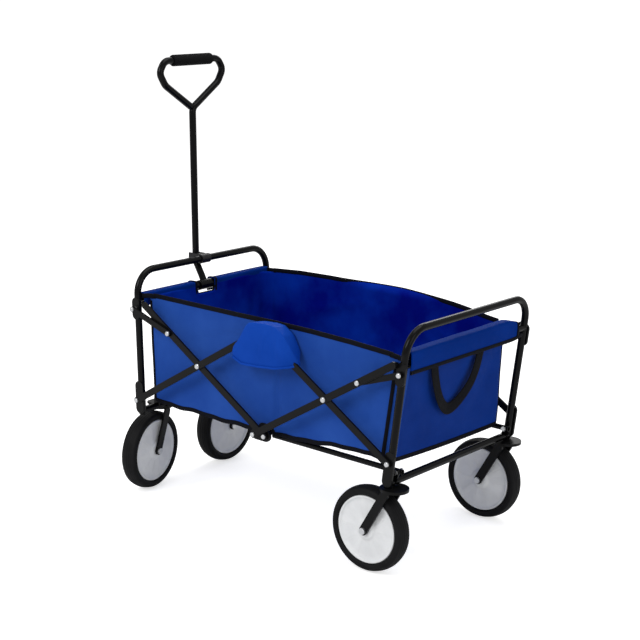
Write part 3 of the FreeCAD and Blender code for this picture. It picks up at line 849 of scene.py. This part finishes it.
def build_webbing():
    points = []
    for y, z in cut_corners(WEBBING_LINE):
        # it stands off the wall most at half height
        lift = 0.0042 + 0.0050 * math.sin(math.pi * clamp01((0.424 - z) / 0.114))
        points.append((table_value(z, REAR_WALL) + lift + 0.0005, y, z))
    web = strip("rear_webbing", resample(points, 0.005), (1, 0, 0.1),
                width=0.0250, thick=0.0024, material=WEBBING)
    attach(web, "rear_frame")
    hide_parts("rear_webbing_loop")


build_webbing()

# ------------------------------------------------------------------ wheels
TYRE_HALF = 0.019                # half the tyre's width
RIM_HALF = 0.0145                # half the rim's width at its web
WEB_INNER_R, WEB_OUTER_R = 0.022, 0.0652
SECTORS = 10
CASTER_X, CASTER_Y, CASTER_TRAIL = -0.400, 0.131, 0.040  # swivel axes, and axle behind them
REAR_AXLE_X, REAR_WHEEL_Y = 0.279, 0.207


def face_outward(mesh):
    """flip a closed mesh whose signed volume is negative"""
    volume = 0.0
    for face in mesh.polygons:
        first, *rest = [mesh.vertices[i].co for i in face.vertices]
        for a, b in zip(rest, rest[1:]):
            volume += first.dot(a.cross(b))
    if volume < 0:
        mesh.flip_normals()


def lathe(name, profile, material, segments, shape):
    """(radius, y) pairs turned about the y axis; shape(r, y, angle) moves a point"""
    verts = []
    for i in range(segments):
        angle = 2 * math.pi * i / segments
        for radius, width in profile:
            r, y = shape(radius, width, angle)
            verts.append((r * math.cos(angle), y, r * math.sin(angle)))
    faces = grid_faces(segments, len(profile), wrap_rows=True, wrap_columns=True)
    return add_mesh(name, verts, faces, [material])


def tyre_profile():
    crown = [(WHEEL_R - 0.0022 * abs(t) ** 2.4, TYRE_HALF * 0.60 * t)
             for t in np.linspace(-1, 1, 25)]
    side = []
    for angle in np.radians(np.linspace(8, 82, 9)):
        side.append((0.0798 + 0.0080 * math.cos(angle),
                     TYRE_HALF * 0.60 + TYRE_HALF * 0.40 * math.sin(angle)))
    side += [(0.0780, 0.0190), (0.0755, 0.0188), (0.0735, 0.0176), (0.0722, 0.0160),
             (0.0712, 0.0135)]
    return crown + side + [(r, -y) for r, y in side[::-1]]


def tread(r, y, angle):
    """three shallow rings round the crown"""
    if r > 0.0845 and abs(y) < 0.0125:
        for groove in (-0.0062, 0.0, 0.0062):
            r -= 0.0009 * bell(y - groove, 0.0007)
    return r, y


def rim_profile():
    # (radius, y beyond RIM_HALF) from the tyre seat in to the bore
    table = [(0.0712, -0.0013), (0.0708, 0.0012), (0.0690, 0.0016), (0.0668, 0.0010),
             (0.0655, -0.0010), (0.0645, -0.0016), (0.0560, -0.0012), (0.0450, -0.0006),
             (0.0340, 0.0), (0.0250, 0.0008), (0.0215, 0.0012), (0.0200, 0.0036),
             (0.0170, 0.0050), (0.0120, 0.0054), (0.0045, 0.0054), (0.0043, 0.0040)]
    side = [(r, RIM_HALF + y) for r, y in table]
    return side + [(r, -y) for r, y in side[::-1]]


def sectors(r, y, angle):
    """shallow hollows between radial ribs on the web"""
    if WEB_INNER_R < r < WEB_OUTER_R:
        phase = (angle * SECTORS / (2 * math.pi)) % 1.0
        from_middle = abs(phase - 0.5) * 2
        across = math.sin(math.pi * (r - WEB_INNER_R) / (WEB_OUTER_R - WEB_INNER_R))
        hollow = 0.0016 * (1 - from_middle) * across ** 0.6
        rib = 0.0009 * bell(min(phase, 1 - phase), 0.035)
        y -= math.copysign(hollow - rib, y)
    return r, y


def wheel(end, side, x, y, axle):
    place = Vector((0, 1, 0)).rotation_difference(Vector(axle)).to_matrix().to_4x4()
    place = Matrix.Translation((x, y, WHEEL_R)) @ place
    for kind, profile, material, segments, shape in (
            ("tyre", tyre_profile(), TYRE, 144, tread),
            ("rim", rim_profile(), RIM, 240, sectors)):
        part = lathe(f"{kind}_{end}_{side}", profile, material, segments, shape)
        face_outward(part.data)
        part.data.transform(place)
        part.data.update()
        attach(part, f"{end}_wheel_{side}")
        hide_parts(f"{end}_{kind}_{side}")


# the casters are swivelled almost square to the wagon
for side_name, sign, yaw_degrees in (("left", -1, 99.0), ("right", 1, 91.0)):
    yaw = math.radians(yaw_degrees)
    wheel("front", side_name, CASTER_X - CASTER_TRAIL * math.cos(yaw),
          sign * CASTER_Y - CASTER_TRAIL * math.sin(yaw), (-math.sin(yaw), math.cos(yaw), 0))
    wheel("rear", side_name, REAR_AXLE_X, sign * REAR_WHEEL_Y, (0, 1, 0))

finish_part("handle_grip", FOAM, split_angle=40)


# ------------------------------------------------------------------ floor, light, camera
def build_ground():
    bpy.ops.mesh.primitive_plane_add(size=30, location=(0, 0, -0.0005))
    ground = bpy.context.object
    ground.name = "floor"
    material = new_material("floor_pale", (0.86, 0.86, 0.86), 0.9, specular=0.0)
    inputs = shader_of(material).inputs
    inputs["Emission Color"].default_value = (1, 1, 1, 1)
    # it glows to the camera only
    to_camera = add_node(material, "LightPath").outputs["Is Camera Ray"]
    glow = add_math(material, "MULTIPLY", to_camera, 0.62)
    link(material, glow, inputs["Emission Strength"])
    ground.data.materials.append(material)


def build_world():
    """white, twice as bright to the camera as to the scene"""
    world = bpy.context.scene.world or bpy.data.worlds.new("World")
    bpy.context.scene.world = world
    world.use_nodes = True
    background = world.node_tree.nodes.get("Background") or add_node(world, "Background")
    background.inputs[0].default_value = (1.0, 1.0, 1.0, 1)
    to_camera = add_node(world, "LightPath").outputs["Is Camera Ray"]
    link(world, add_math(world, "MULTIPLY_ADD", to_camera, 0.55, 0.55), background.inputs[1])
    bpy.context.scene.view_settings.view_transform = "Standard"


def area_light(name, location, target, size, power):
    light = bpy.data.lights.new(name, "AREA")
    light.shape = "RECTANGLE"
    light.size, light.size_y = size
    light.energy = power
    obj = bpy.data.objects.new(name, light)
    bpy.context.scene.collection.objects.link(obj)
    obj.location = location
    obj.rotation_mode = "QUATERNION"
    aim = Vector(target) - Vector(location)
    obj.rotation_quaternion = aim.to_track_quat("-Z", "Y")


def build_camera():
    data = bpy.data.cameras.new("camera")
    camera = bpy.data.objects.new("camera", data)
    bpy.context.scene.collection.objects.link(camera)
    data.sensor_width = 36.0
    data.lens = 86.54495625
    right = (0.7709, 0.63641, 0.02635)
    up = (-0.17337, 0.16985, 0.9701)
    forward = (-0.61291, 0.75242, -0.24127)
    place = (2.0412, -2.5507, 1.2494)
    rows = [(r, u, -f, p) for r, u, f, p in zip(right, up, forward, place)]
    camera.matrix_world = Matrix((*rows, (0, 0, 0, 1)))
    data.clip_start, data.clip_end = 0.05, 60
    bpy.context.scene.camera = camera


build_ground()
build_world()
area_light("key", (-0.6, -3.2, 2.6), target=(0, 0, 0.3), size=(1.8, 1.8), power=62)
area_light("fill", (3.4, -0.6, 1.8), target=(0, 0, 0.3), size=(1.6, 2.0), power=16)
area_light("top", (0.2, 0.4, 3.4), target=(0, 0, 0.2), size=(2.4, 2.4), power=40)
area_light("back", (-1.6, 3.0, 2.2), target=(0, 0, 0.4), size=(2.0, 1.2), power=26)
build_camera()
